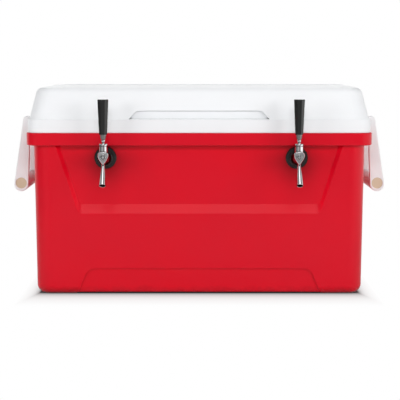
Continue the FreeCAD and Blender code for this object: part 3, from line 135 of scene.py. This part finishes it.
class Finish(Nodes):
    """One procedural material; its nodes read the place on the object, in metres."""

    def __init__(self, name):
        self.material = bpy.data.materials.new(name)
        self.material.use_nodes = True
        super().__init__(self.material.node_tree)
        self.shader = self.tree.nodes["Principled BSDF"]
        self.place = self.node("ShaderNodeTexCoord").outputs["Object"]

    def set(self, **values):
        for key, value in values.items():
            self.plug(self.shader.inputs[key.replace("_", " ")], value)

    def noise(self, size, detail=2.0, place=None, roughness=0.5):
        """Noise whose features are about that many metres across, as a value."""
        made = self.node("ShaderNodeTexNoise", {"Vector": place or self.place, "Scale": 1 / size,
                                                "Detail": detail, "Roughness": roughness})
        return made.outputs["Fac"]

    def stretched(self, x, y, z):
        return self.node("ShaderNodeMapping", {"Vector": self.place, "Scale": (x, y, z)}).outputs["Vector"]

    def spread(self, value, low, high):
        """A noise value turned into the range low to high."""
        return self.ranged(value, NARROW, 1 - NARROW, low, high)

    def uneven(self, low, high, size, detail):
        """A value that wanders between low and high."""
        return self.spread(self.noise(size, detail), low, high)

    def blend(self, amount, first, second):
        """A colour between two others."""
        made = self.node("ShaderNodeMix", {0: amount, 6: (*first, 1), 7: (*second, 1)}, data_type="RGBA")
        return made.outputs[2]

    def mottled(self, first, second, size, detail):
        """A colour that wanders between two others."""
        return self.blend(self.uneven(0.0, 1.0, size, detail), first, second)

    def scaled(self, colour, level):
        return self.node("ShaderNodeVectorMath", {0: colour, "Scale": level}, operation="SCALE").outputs[0]

    def dimmed(self, colour, value, start, end, depth):
        """The colour, from `depth` of its brightness where the value is `start` to all of it at `end`."""
        return self.scaled(colour, self.ranged(value, start, end, depth, 1.0))

    def painted_crease_shade(self, colour, reach, depth, widest=CREASE_OPEN):
        """The colour, darker in corners and under edges: painted shade."""
        share = self.node("ShaderNodeAmbientOcclusion", {"Distance": reach}, samples=CREASE_SAMPLES)
        return self.dimmed(colour, share.outputs["AO"], CREASE_SHUT, widest, depth)

    def from_pair(self, spots):
        """Distance from the nearer of two spots."""
        return self.math("MINIMUM", *(
            self.node("ShaderNodeVectorMath", {0: self.place, 1: spot}, operation="DISTANCE").outputs["Value"]
            for spot in spots))

    def ringed(self, colour, spots, inner, outer, depth):
        """The colour, dark in a ring round each spot."""
        off = self.math("ABSOLUTE", self.math("SUBTRACT", self.from_pair(spots), (inner + outer) / 2))
        half = (outer - inner) / 2
        return self.dimmed(colour, off, half * (1 - RING_SOFT), half * (1 + RING_SOFT), depth)

    def shaded(self, colour, spots, reach, depth):
        """The colour, softly darker round the taps, which take the light from it."""
        away = self.math("DIVIDE", self.from_pair(spots), reach)
        near = self.math("EXPONENT", self.math("MULTIPLY", self.math("MULTIPLY", away, away), -1.0))
        return self.scaled(colour, self.math("MULTIPLY_ADD", near, -depth, 1.0))

    def painted_side_light(self, colour, half_width, height, gain):
        """The colour with painted light: lighter on faces that slope sideways, within that half width and
        above that height.
        """
        normal = self.apart(self.node("ShaderNodeNewGeometry").outputs["Normal"])
        place = self.apart(self.place)
        steep = self.ranged(self.math("ABSOLUTE", normal["X"]), *SLOPE, 0.0, 1.0)
        within = self.math("LESS_THAN", self.math("ABSOLUTE", place["X"]), half_width)
        above = self.math("GREATER_THAN", place["Z"], height)
        amount = self.math("MULTIPLY", self.math("MULTIPLY", within, above), steep)
        return self.scaled(colour, self.math("MULTIPLY_ADD", amount, gain, 1.0))

    def painted_foot_shade(self, colour, height, depth):
        """The colour with painted shade near the floor, up to that height, under a ragged edge."""
        ragged = self.uneven(-RAGGED_RISE * height, RAGGED_RISE * height, size=RAGGED_SIZE, detail=4)
        up = self.math("ADD", self.apart(self.place)["Z"], ragged)
        return self.dimmed(colour, up, 0.0, height, depth)

    def bump(self, *layers):
        """Relief, from layers of (height value, depth in metres)."""
        normal = None
        for height, depth in layers:
            inputs = {"Height": height, "Strength": 1.0, "Distance": depth}
            if normal is not None:
                inputs["Normal"] = normal
            normal = self.node("ShaderNodeBump", inputs).outputs["Normal"]
        self.plug(self.shader.inputs["Normal"], normal)


def tinted(colour, share):
    return [part * share for part in colour]


def moulded(name, colour, patches, roughness, specular, grain_depth=0.02 * MM, wave_depth=0.4 * MM,
            crease=None, foot_shade=None, shadow=None, side_light=None):
    """Moulded plastic: fine grain, walls that are never quite flat, slightly uneven colour and gloss."""
    f = Finish(name)
    tone = f.mottled(colour, patches, size=160 * MM, detail=3)
    # painted shade in creases and near the floor, a painted shadow round the taps, painted light on sloping
    # sides
    for change, values in ((f.painted_crease_shade, crease), (f.painted_foot_shade, foot_shade), (f.shaded, shadow), (f.painted_side_light, side_light)):
        if values:
            tone = change(tone, *values)
    gloss = f.uneven(roughness - 0.015, roughness + 0.02, size=90 * MM, detail=2)
    f.set(Base_Color=tone, Roughness=gloss, Specular_IOR_Level=specular)
    f.bump((f.noise(size=220 * MM, detail=1), wave_depth), (f.noise(size=0.6 * MM, detail=2), grain_depth))
    return f.material


def polished(name, colour, roughness, rings=()):
    """Plated metal with faint smears and casting waves, darker where it turns away, with painted shade in
    creases, and dark in fine grooves.
    """
    f = Finish(name)
    tone = f.mottled(colour, tinted(colour, 0.93), size=20 * MM, detail=3)
    # painted shade in creases
    tone = f.painted_crease_shade(tone, reach=4 * MM, depth=0.02, widest=0.92)
    if rings:
        tone = f.ringed(tone, *rings)
    f.set(Base_Color=tone, Roughness=f.uneven(roughness, roughness + 0.09, size=6 * MM, detail=4),
          Metallic=1.0, Specular_Tint=EDGE_TINT)
    f.bump((f.noise(size=8 * MM, detail=1), 0.06 * MM), (f.noise(size=0.8 * MM, detail=2), 0.004 * MM))
    return f.material


def brushed(name, colour, roughness, along):
    """Turned or brushed metal; `along` shortens the grain in each direction."""
    f = Finish(name)
    grain = f.noise(size=0.4 * MM, detail=3, place=f.stretched(*along))
    f.set(Base_Color=f.blend(f.spread(grain, 0.0, 1.0), colour, tinted(colour, 0.85)),
          Roughness=f.spread(grain, roughness - 0.05, roughness + 0.1), Metallic=1.0)
    f.bump((grain, 0.01 * MM))
    return f.material


def cast(name, colour):
    """Sand-cast metal: pitted and dull."""
    f = Finish(name)
    f.set(Base_Color=f.mottled(colour, tinted(colour, 0.8), size=10 * MM, detail=4),
          Roughness=f.uneven(0.38, 0.6, size=4 * MM, detail=4), Metallic=1.0)
    f.bump((f.noise(size=4 * MM, detail=5, roughness=0.7), 0.3 * MM))
    return f.material


def rubber(name, colour):
    f = Finish(name)
    f.set(Base_Color=f.mottled(colour, tinted(colour, 1.6), size=10 * MM, detail=3),
          Roughness=f.uneven(0.6, 0.8, size=3 * MM, detail=3), Specular_IOR_Level=0.35)
    f.bump((f.noise(size=0.7 * MM, detail=3), 0.04 * MM))
    return f.material


def foam(name, colour):
    f = Finish(name)
    f.set(Base_Color=f.mottled(colour, tinted(colour, 0.8), size=4 * MM, detail=4), Roughness=0.9)
    cells = f.node("ShaderNodeTexVoronoi", {"Vector": f.place, "Scale": FOAM_CELLS}).outputs["Distance"]
    f.bump((cells, 0.4 * MM))
    return f.material


def vinyl(name, colour):
    """Clear flexible hose, a little milky."""
    f = Finish(name)
    f.set(Base_Color=f.mottled(colour, tinted(colour, 0.92), size=30 * MM, detail=3),
          Roughness=f.uneven(0.1, 0.22, size=10 * MM, detail=3), Transmission_Weight=0.55, IOR=1.45)
    f.bump((f.noise(size=10 * MM, detail=2), 0.2 * MM))
    return f.material


def pair_in(node):
    """Where a node's pair of round parts has its centres, at the parts' front, and their radius."""
    low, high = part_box(node)
    radius = (high.z - low.z) / 2
    return [(x, low.y, low.z + radius) for x in (low.x + radius, high.x - radius)], radius


CAP_SPOTS, CAP_RADIUS = pair_in("faucet_caps")
CAP_RING = (CAP_SPOTS, 0.50 * CAP_RADIUS, 0.80 * CAP_RADIUS, 0.06)   # edges and depth of the caps' groove
SHADE_DROP = 13 * MM                     # from the shanks down to the middle of the shade on the shell
TAP_SHADE = ([(x, y, z - SHADE_DROP) for x, y, z in pair_in("tap_shanks")[0]], 40 * MM, 0.58)
PANEL_SIDE_LIGHT = (0.29, 0.15, 0.22)         # half width and foot of the sunk panels, and the painted light on their sides

FINISHES = {
    # red shell: painted shade in creases and near the floor, a painted shadow round the taps, painted light
    # on the panel sides
    "red_shell": moulded("red_shell", (0.695, 0.001, 0.014), (0.665, 0.002, 0.016), 0.29, 0.27,
                         crease=(9 * MM, 0.25), foot_shade=(17 * MM, 0.62), shadow=TAP_SHADE, side_light=PANEL_SIDE_LIGHT),
    # white shell: painted shade in creases
    "white_shell": moulded("white_shell", (0.91, 0.922, 0.938), (0.895, 0.909, 0.928), 0.30, 0.35,
                           crease=(6 * MM, 0.35, 0.60)),
    "white_liner": moulded("white_liner", (0.87, 0.88, 0.885), (0.82, 0.83, 0.84), 0.42, 0.35),
    "foam": foam("foam", (0.86, 0.76, 0.50)),
    "handle_plastic": moulded("handle_plastic", (0.90, 0.90, 0.905), (0.87, 0.87, 0.88), 0.42, 0.3),
    "tan_core": moulded("tan_core", (0.72, 0.60, 0.44), (0.64, 0.53, 0.38), 0.5, 0.3,
                        grain_depth=0.06 * MM),
    "black_plastic": moulded("black_plastic", (0.017, 0.018, 0.017), (0.012, 0.012, 0.012), 0.17, 0.45,
                             wave_depth=0.2 * MM),
    "chrome": polished("chrome", (0.74, 0.74, 0.75), 0.07),
    "dark_chrome": polished("dark_chrome", (0.10, 0.10, 0.10), 0.12),
    "brushed_metal": brushed("brushed_metal", (0.28, 0.28, 0.275), 0.34, (1, 1, 6)),
    # near black: painted shade inside the faucets' bores and the bonnets' grooves
    "bore": moulded("bore", (0.004, 0.004, 0.004), (0.002, 0.002, 0.002), 0.7, 0.1),
    "stainless": brushed("stainless", (0.60, 0.60, 0.61), 0.28, (0.15, 1, 1)),
    "rubber": rubber("rubber", (0.02, 0.02, 0.02)),
    "grey_plastic": moulded("grey_plastic", (0.72, 0.73, 0.74), (0.67, 0.68, 0.69), 0.45, 0.3),
    "cast_aluminium": cast("cast_aluminium", (0.62, 0.63, 0.64)),
    "hose_vinyl": vinyl("hose_vinyl", (0.90, 0.92, 0.91)),
}


def paint(obj, name):
    obj.data.materials.clear()
    obj.data.materials.append(FINISHES[name])


for part in frame["record"]["subparts"]:
    paint(NODES[part["node"]], part["material_slot"])
NODES["faucet_caps"].data.materials[0] = polished("cap_chrome", (0.92, 0.92, 0.93), 0.07, CAP_RING)


# ---------------------------------------------------------------- modelled pieces

VOXEL = 0.4 * MM                         # of the castings
FLOW_FACTOR, FLOW_STEPS = 0.5, 10        # how far their joined forms flow into each other
HELD_DEEP, HELD_ROUND = 2 * MM, 12 * MM  # what keeps its shape: under the bonnet, round the lever,
HELD_REAR, HELD_FACE = 9 * MM, 4 * MM    # at the coupling nut and at the cap
BORE_SPAN = 13.5 * MM                    # widest bore inside a faucet
BELL_DARK = 17.5 * MM                    # length of the faucet's rear that takes the near-black chrome
THREAD_PITCH, THREAD_DEPTH, THREAD_STEPS = 1.8 * MM, 0.7 * MM, 6     # steps in each turn
AROUND = 64                              # sides of a turned piece
SHANK, SHANK_BORE = 11.1 * MM, 4.0 * MM
TAP_COLLAR, TAP_COLLAR_FROM = 12.6 * MM, 2.3 * MM            # radius and place on the tap's shank
INLET_COLLAR, INLET_COLLAR_FROM, INLET_COLLAR_TO = 14.3 * MM, 23.0 * MM, 20.0 * MM
SCREW_HEAD, SCREW_RISE, SCREW_SHAFT, SCREW_LENGTH = 4.2 * MM, 2.4 * MM, 2.0 * MM, 14.0 * MM
SCREW_CROWN, SCREW_POINT = 0.45 * SCREW_HEAD, 0.05 * MM
SCREW_TURN = 0.7                         # radians from one screw's recess to the next
CROSS_ARM, CROSS_WIDTH, CROSS_DEEP, CROSS_TAPER = 2.3 * MM, 0.8 * MM, 1.3 * MM, 0.55
BONNET_PROFILE = (                       # height above its foot and radius, in mm
    (0.0, 7.15), (0.0, 8.1), (0.3, 8.4), (12.5, 8.4), (12.7, 7.3), (14.5, 7.3), (14.7, 8.9), (16.6, 8.9),
    (17.2, 8.4), (17.2, 8.2), (10.9, 5.6), (9.9, 6.2), (8.4, 6.75), (6.2, 7.15))
BONNET_GROOVE = (3, 4, 5)                # where the profile's groove starts, runs and ends; its faces take near-black painted shade
SHARP = 40                               # degrees between faces from which their edge is kept


def link(name, mesh, finish, body, *nodes):
    """A new piece that stands for CAD nodes and rides where they ride."""
    piece = bpy.data.objects.new(name, mesh)
    bpy.context.scene.collection.objects.link(piece)
    paint(piece, finish)
    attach(piece, body)
    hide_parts(*nodes)
    return piece


def evaluated(obj):
    return bpy.data.meshes.new_from_object(obj.evaluated_get(bpy.context.evaluated_depsgraph_get()))


def casting(side):
    """The faucet's body as one poured casting: its joined forms flow into each other, its bores take
    near-black painted shade.
    """
    node = side + "_faucet_body"
    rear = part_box(node)[1].y
    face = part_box("faucet_caps")[0].y
    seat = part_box("faucet_bonnets")[0].z
    knob_low, knob_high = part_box(side + "_knob")
    lever_y = (knob_low.y + knob_high.y) / 2

    rough = bpy.data.objects.new(node + "_rough", NODES[node].data.copy())
    bpy.context.scene.collection.objects.link(rough)
    rough.modifiers.new("melt", "REMESH").voxel_size = VOXEL
    melted = evaluated(rough)
    rough.modifiers.clear()
    rough.data = melted
    held = rough.vertex_groups.new(name="held")
    for vertex in melted.vertices:
        place = vertex.co
        by_bonnet = place.z > seat - HELD_DEEP and abs(place.y - lever_y) < HELD_ROUND
        if by_bonnet or place.y > rear - HELD_REAR or place.y < face + HELD_FACE:
            held.add([vertex.index], 1.0, "REPLACE")
    flow = rough.modifiers.new("flow", "SMOOTH")
    flow.factor, flow.iterations = FLOW_FACTOR, FLOW_STEPS
    flow.vertex_group, flow.invert_vertex_group = held.name, True
    mesh = evaluated(rough)
    bpy.data.objects.remove(rough)
    mesh.shade_smooth()

    link(side + "_faucet_casting", mesh, "chrome", "chest", node)
    # second material: near-black painted shade inside the bores; third: near-black chrome for the rear
    mesh.materials.append(FINISHES["bore"])
    mesh.materials.append(FINISHES["dark_chrome"])
    tree = BVHTree.FromPolygons([v.co for v in mesh.vertices], [p.vertices for p in mesh.polygons])
    for polygon in mesh.polygons:
        start = polygon.center + polygon.normal * VOXEL
        if tree.ray_cast(start, polygon.normal, BORE_SPAN)[0] is not None:
            polygon.material_index = 1
        elif polygon.center.y > rear - BELL_DARK:
            polygon.material_index = 2


def lathe(shape, profile, start, run, radius_at=lambda along, radius, turn: radius, dark=()):
    """Closed profile of (along, radius) pairs turned round the line from start along run; faces that
    start at the dark points of the profile take the mesh's second material."""
    across = run.orthogonal().normalized()
    over = run.cross(across)
    rings = []
    for along, radius in profile:
        ring = []
        for step in range(AROUND):
            angle = step / AROUND * math.tau
            out = radius_at(along, radius, step / AROUND)
            spoke = across * math.cos(angle) + over * math.sin(angle)
            ring.append(shape.verts.new(start + run * along + spoke * out))
        rings.append(ring)
    for index, (first, second) in enumerate(zip(rings, rings[1:] + rings[:1])):
        for step in range(AROUND):
            after = (step + 1) % AROUND
            face = shape.faces.new((first[step], first[after], second[after], second[step]))
            face.material_index = int(index in dark)


def islands(node):
    """Lowest and highest corners of each separate solid of a node."""
    shape = bmesh.new()
    shape.from_mesh(NODES[node].data)
    bmesh.ops.remove_doubles(shape, verts=shape.verts, dist=0.001 * MM)
    found, seen = [], set()
    for first in shape.verts:
        if first in seen:
            continue
        group, ahead = [], [first]
        seen.add(first)
        while ahead:
            vertex = ahead.pop()
            group.append(vertex.co.copy())
            for edge in vertex.link_edges:
                other = edge.other_vert(vertex)
                if other not in seen:
                    seen.add(other)
                    ahead.append(other)
        found.append([Vector([pick(place[axis] for place in group) for axis in range(3)])
                      for pick in (min, max)])
    shape.free()
    return found


def finished(shape, name):
    """The shape as a mesh, smooth but for its sharp edges."""
    bmesh.ops.recalc_face_normals(shape, faces=shape.faces)
    mesh = bpy.data.meshes.new(name)
    shape.to_mesh(mesh)
    shape.free()
    mesh.shade_smooth()
    shape = bmesh.new()
    shape.from_mesh(mesh)
    for edge in shape.edges:
        edge.smooth = len(edge.link_faces) == 2 and edge.calc_face_angle(0.0) < math.radians(SHARP)
    shape.to_mesh(mesh)
    shape.free()
    return mesh


def threaded(ends):
    """Radius of a shank that carries a helical thread between each pair of ends."""
    def radius_at(along, radius, turn):
        if abs(radius - SHANK) > 0.01 * MM:
            return radius
        room = max(min(along - start, end - along) for start, end in ends)
        wave = 0.5 - 0.5 * math.cos(math.tau * (along / THREAD_PITCH - turn))
        return radius - THREAD_DEPTH * (wave if room > THREAD_PITCH / 2 else 1.0)
    return radius_at


def thread_points(start, end):
    if end <= start:
        return []
    steps = max(1, round((end - start) / THREAD_PITCH * THREAD_STEPS))
    return [(start + (end - start) * step / steps, SHANK) for step in range(steps + 1)]


def shanks(node, name, collar, collar_from, collar_to):
    """Threaded shanks through the wall; the collar's ends are counted back from each shank's outer end."""
    shape = bmesh.new()
    for low, high in islands(node):
        out = 1 if low.y + high.y > 0 else -1
        length = high.y - low.y
        inner = Vector(((low.x + high.x) / 2, low.y if out > 0 else high.y, (low.z + high.z) / 2))
        inside, outside = (0.0, length - collar_from), (length - collar_to, length)
        profile = [(0.0, SHANK_BORE), *thread_points(*inside), (inside[1], collar), (outside[0], collar),
                   *thread_points(*outside), (length, SHANK_BORE)]
        lathe(shape, profile, inner, Vector((0, out, 0)), threaded((inside, outside)))
    link(name, finished(shape, name), "chrome", "chest", node)


def bonnets():
    """The rings over the levers' balls, with near-black painted shade in the groove and a mouth that clears
    the lever's stem.
    """
    shape = bmesh.new()
    profile = [(rise * MM, radius * MM) for rise, radius in BONNET_PROFILE]
    for low, high in islands("faucet_bonnets"):
        foot = Vector(((low.x + high.x) / 2, (low.y + high.y) / 2, low.z))
        lathe(shape, profile, foot, Vector((0, 0, 1)), dark=BONNET_GROOVE)
    piece = link("bonnets", finished(shape, "bonnets"), "chrome", "chest", "faucet_bonnets")
    # near-black painted shade for the groove's faces
    piece.data.materials.append(FINISHES["bore"])


def screw_mesh():
    """Pan-head screw with a cross recess, its seat at the origin and its head along +Z."""
    profile = [(-SCREW_LENGTH, SCREW_POINT), (SCREW_SHAFT - SCREW_LENGTH, SCREW_SHAFT), (0, SCREW_SHAFT),
               (0, 0.94 * SCREW_HEAD), (0.1 * SCREW_RISE, SCREW_HEAD), (0.45 * SCREW_RISE, 0.97 * SCREW_HEAD),
               (0.75 * SCREW_RISE, 0.8 * SCREW_HEAD), (0.94 * SCREW_RISE, 1.1 * SCREW_CROWN),
               (SCREW_RISE, 0.5 * SCREW_CROWN), (SCREW_RISE, SCREW_POINT)]
    shape = bmesh.new()
    lathe(shape, profile, Vector(), Vector((0, 0, 1)))
    head = bpy.data.objects.new("screw", finished(shape, "screw"))
    shape = bmesh.new()
    for reach, across in ((CROSS_ARM, CROSS_WIDTH / 2), (CROSS_WIDTH / 2, CROSS_ARM)):
        for vertex in bmesh.ops.create_cube(shape, size=2)["verts"]:
            above = vertex.co.z > 0
            taper = 1.0 if above else CROSS_TAPER
            vertex.co = (vertex.co.x * reach * taper, vertex.co.y * across * taper,
                         SCREW_RISE + (MM if above else -CROSS_DEEP))
    cross = bpy.data.objects.new("cross", finished(shape, "cross"))
    for obj in (head, cross):
        bpy.context.scene.collection.objects.link(obj)
    cut = head.modifiers.new("recess", "BOOLEAN")
    cut.object, cut.operation, cut.solver, cut.use_self = cross, "DIFFERENCE", "EXACT", True
    mesh = evaluated(head)
    for obj in (head, cross):
        bpy.data.objects.remove(obj)
    return mesh


def screws(node, name, body, axis):
    """One screw for each of the node's; the axis that they are driven in is 0 for X or 1 for Y."""
    one, shape = screw_mesh(), bmesh.new()
    for count, (low, high) in enumerate(islands(node)):
        middle = (low + high) / 2
        out = 1 if middle[axis] > 0 else -1
        seat = middle.copy()
        seat[axis] = (high if out > 0 else low)[axis] - out * SCREW_RISE
        run = Vector((0, 0, 0))
        run[axis] = out
        place = Matrix.Translation(seat) @ run.to_track_quat("Z", "X").to_matrix().to_4x4()
        copy = one.copy()
        copy.transform(place @ Matrix.Rotation(count * SCREW_TURN, 4, "Z"))
        shape.from_mesh(copy)
        bpy.data.meshes.remove(copy)
    link(name, finished(shape, name), "stainless", body, node)


casting("left")
casting("right")
bonnets()
shanks("tap_shanks", "tap_threads", TAP_COLLAR, TAP_COLLAR_FROM, 0.0)
shanks("inlet_shanks", "inlet_threads", INLET_COLLAR, INLET_COLLAR_FROM, INLET_COLLAR_TO)
screws("hinge_chest_screws", "chest_leaf_screws", "chest", 1)
screws("hinge_lid_screws", "lid_leaf_screws", "lid", 1)
screws("handle_bracket_screws", "bracket_screws", "chest", 0)


# ---------------------------------------------------------------- camera, lamps and surroundings

def add_camera():
    data = bpy.data.cameras.new("camera")
    data.lens, data.sensor_width, data.shift_x = CAMERA_LENS, SENSOR, CAMERA_SHIFT
    camera = bpy.data.objects.new("camera", data)
    camera.location = CAMERA_PLACE
    camera.rotation_euler = (math.radians(90 - CAMERA_DOWN), 0, 0)
    bpy.context.scene.collection.objects.link(camera)
    bpy.context.scene.camera = camera


def add_lamp(name, place, target, size, power):
    data = bpy.data.lights.new(name, "AREA")
    data.shape, data.energy = "RECTANGLE", power
    data.size, data.size_y = size
    lamp = bpy.data.objects.new(name, data)
    lamp.visible_glossy = False
    lamp.location = place
    lamp.rotation_euler = (Vector(target) - lamp.location).to_track_quat("-Z", "Y").to_euler()
    bpy.context.scene.collection.objects.link(lamp)


def add_world():
    """White to the camera and behind the object; in front, a studio's dark and bright bands for metal."""
    world = bpy.data.worlds.new("studio")
    bpy.context.scene.world = world
    world.use_nodes = True
    sky = Nodes(world.node_tree)
    path = sky.node("ShaderNodeLightPath").outputs
    toward = sky.apart(sky.node("ShaderNodeTexCoord").outputs["Generated"])
    bands = sky.node("ShaderNodeValToRGB", {"Fac": sky.ranged(toward["X"], -1.0, 1.0, 0.0, 1.0)})
    ramp = bands.color_ramp.elements
    while len(ramp) < len(STUDIO):
        ramp.new(1.0)
    for element, (aside, level) in zip(ramp, STUDIO):
        element.position = (aside + 1) / 2
        element.color = (level, level, level, 1)
    around = sky.mixed(sky.ranged(toward["Y"], *STUDIO_END, 0.0, 1.0), bands.outputs["Color"], 1.0)
    strip = sky.ranged(sky.math("ABSOLUTE", toward["X"]), *OVERHEAD_ASIDE, OVERHEAD, OVERHEAD_ROUND)
    mirrored = sky.mixed(sky.ranged(toward["Z"], *OVERHEAD_RISE, 0.0, 1.0), around, strip)
    lit = sky.mixed(path["Is Glossy Ray"], WORLD_LEVEL, mirrored)
    seen = sky.mixed(path["Is Camera Ray"], lit, 1.0)
    background = sky.tree.nodes["Background"].inputs
    sky.plug(background["Strength"], 1.0)
    sky.plug(background["Color"], sky.mixed(path["Is Transmission Ray"], seen, 1.0))


def add_floor():
    """White floor that keeps the object's real shadow, adds a painted soft shadow round the chest for the
    camera, and turns to plain white away from it.
    """
    mesh = bpy.data.meshes.new("floor")
    floor = bpy.data.objects.new("floor", mesh)
    bpy.context.scene.collection.objects.link(floor)
    shape = bmesh.new()
    bmesh.ops.create_circle(shape, cap_ends=True, radius=FLOOR_RADIUS, segments=FLOOR_SEGMENTS)
    shape.to_mesh(mesh)
    shape.free()
    floor.location.z = -FLOOR_DROP
    f = Finish("floor")
    f.set(Base_Color=FLOOR_COLOUR, Roughness=0.6, Specular_IOR_Level=0.1)
    # painted soft shadow round the chest's footprint, seen by the camera over the floor's own shading
    beyond = f.node("ShaderNodeVectorMath", {0: f.place}, operation="ABSOLUTE").outputs[0]
    beyond = f.node("ShaderNodeVectorMath", {0: beyond, 1: (*FOOT_HALF, 0)}, operation="SUBTRACT").outputs[0]
    beyond = f.apart(beyond)
    away = f.math("MAXIMUM", f.math("MULTIPLY", beyond["X"], SHADOW_SIDES), beyond["Y"])
    fade = f.math("EXPONENT", f.math("MULTIPLY", away, -1 / SHADOW_REACH))
    level = f.math("MAXIMUM", f.math("MULTIPLY_ADD", fade, -SHADOW_DEPTH, 1.0), 0.0)
    share = f.math("MULTIPLY", f.ranged(away, 0.0, FADE_OUT, SOFT_SHARE, 1.0),
                   f.node("ShaderNodeLightPath").outputs["Is Camera Ray"])
    soft = f.node("ShaderNodeEmission", {"Color": (1, 1, 1, 1), "Strength": level}).outputs[0]
    mix = f.node("ShaderNodeMixShader", {0: share, 1: f.shader.outputs[0], 2: soft}).outputs[0]
    f.plug(f.tree.nodes["Material Output"].inputs["Surface"], mix)
    mesh.materials.append(f.material)


bpy.context.scene.view_settings.view_transform = "Standard"
add_camera()
add_world()
for lamp_name, settings in LAMPS.items():
    add_lamp(lamp_name, *settings)
add_floor()
